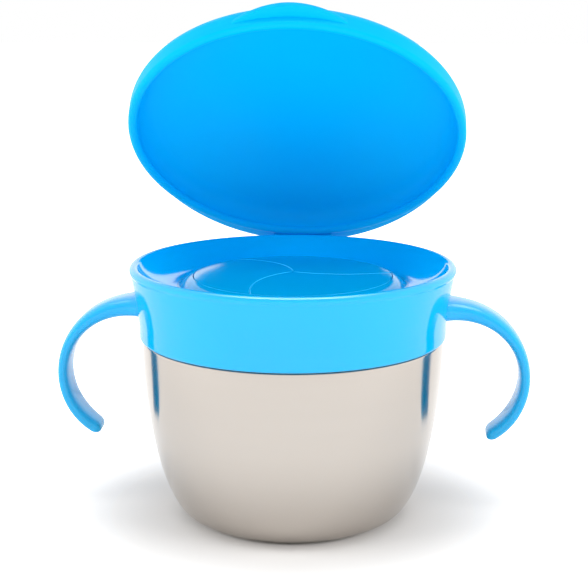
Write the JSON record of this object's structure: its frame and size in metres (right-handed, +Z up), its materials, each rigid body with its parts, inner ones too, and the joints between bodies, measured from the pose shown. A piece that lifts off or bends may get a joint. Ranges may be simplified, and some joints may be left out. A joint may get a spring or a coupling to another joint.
{
  "type": "toddler snack container",
  "caption": "Steel toddler snack bowl with a screw-on blue collar, open side handles, a soft slit mouth and a domed flip lid.",
  "frame": {"origin": "centre of the flat foot, on the table", "axes": "+Z up along the cup's axis, -Y the front, +Y the hinge side, +X and -X the two handles"},
  "size_m": [0.141, 0.1095, 0.1517],
  "materials": {
    "steel": "fine satin",
    "blue_plastic": "gloss",
    "soft_blue": "satin",
    "silicone": "matte",
    "pin_steel": "satin"
  },
  "bodies": {
    "bowl": {"steel_bowl": "steel"},
    "seal": {"mouth_seal": "silicone"},
    "collar": {"collar": "blue_plastic", "left_handle": "blue_plastic", "right_handle": "blue_plastic", "flap_ring": "soft_blue", "hinge_pin": "pin_steel"},
    "flap_1": {"flap_1": "soft_blue"},
    "flap_2": {"flap_2": "soft_blue"},
    "flap_3": {"flap_3": "soft_blue"},
    "lid": {"lid": "blue_plastic"}
  },
  "joints": [
    {"name": "collar_lift", "type": "slide", "parent": "bowl", "child": "seal", "axis": [0, 0, 1], "range_m": [0, 0.005]},
    {"name": "collar_turn", "type": "hinge", "parent": "seal", "child": "collar", "pos_m": [0, 0, 0.0545], "axis": [0, 0, 1], "range_deg": [0, 360]},
    {"name": "lid_hinge", "type": "hinge", "parent": "collar", "child": "lid", "pos_m": [0, 0.0545, 0.068], "axis": [-1, 0, 0], "range_deg": [-44.5, 135.5]},
    {"name": "flap_1_bend", "type": "hinge", "parent": "collar", "child": "flap_1", "pos_m": [-0.02876, -0.00507, 0.0711], "axis": [-0.1736, 0.9848, 0], "range_deg": [-12, 40], "stiffness_Nm_per_rad": 0.01},
    {"name": "flap_2_bend", "type": "hinge", "parent": "collar", "child": "flap_2", "pos_m": [0.01877, -0.02237, 0.0711], "axis": [-0.766, -0.6428, 0], "range_deg": [-12, 40], "stiffness_Nm_per_rad": 0.01},
    {"name": "flap_3_bend", "type": "hinge", "parent": "collar", "child": "flap_3", "pos_m": [0.00999, 0.02744, 0.0711], "axis": [0.9397, -0.342, 0], "range_deg": [-12, 40], "stiffness_Nm_per_rad": 0.01}
  ],
  "couplings": [
    {"joint": "collar_lift", "follows": "collar_turn", "m_per_rad": 0.00079577}
  ]
}
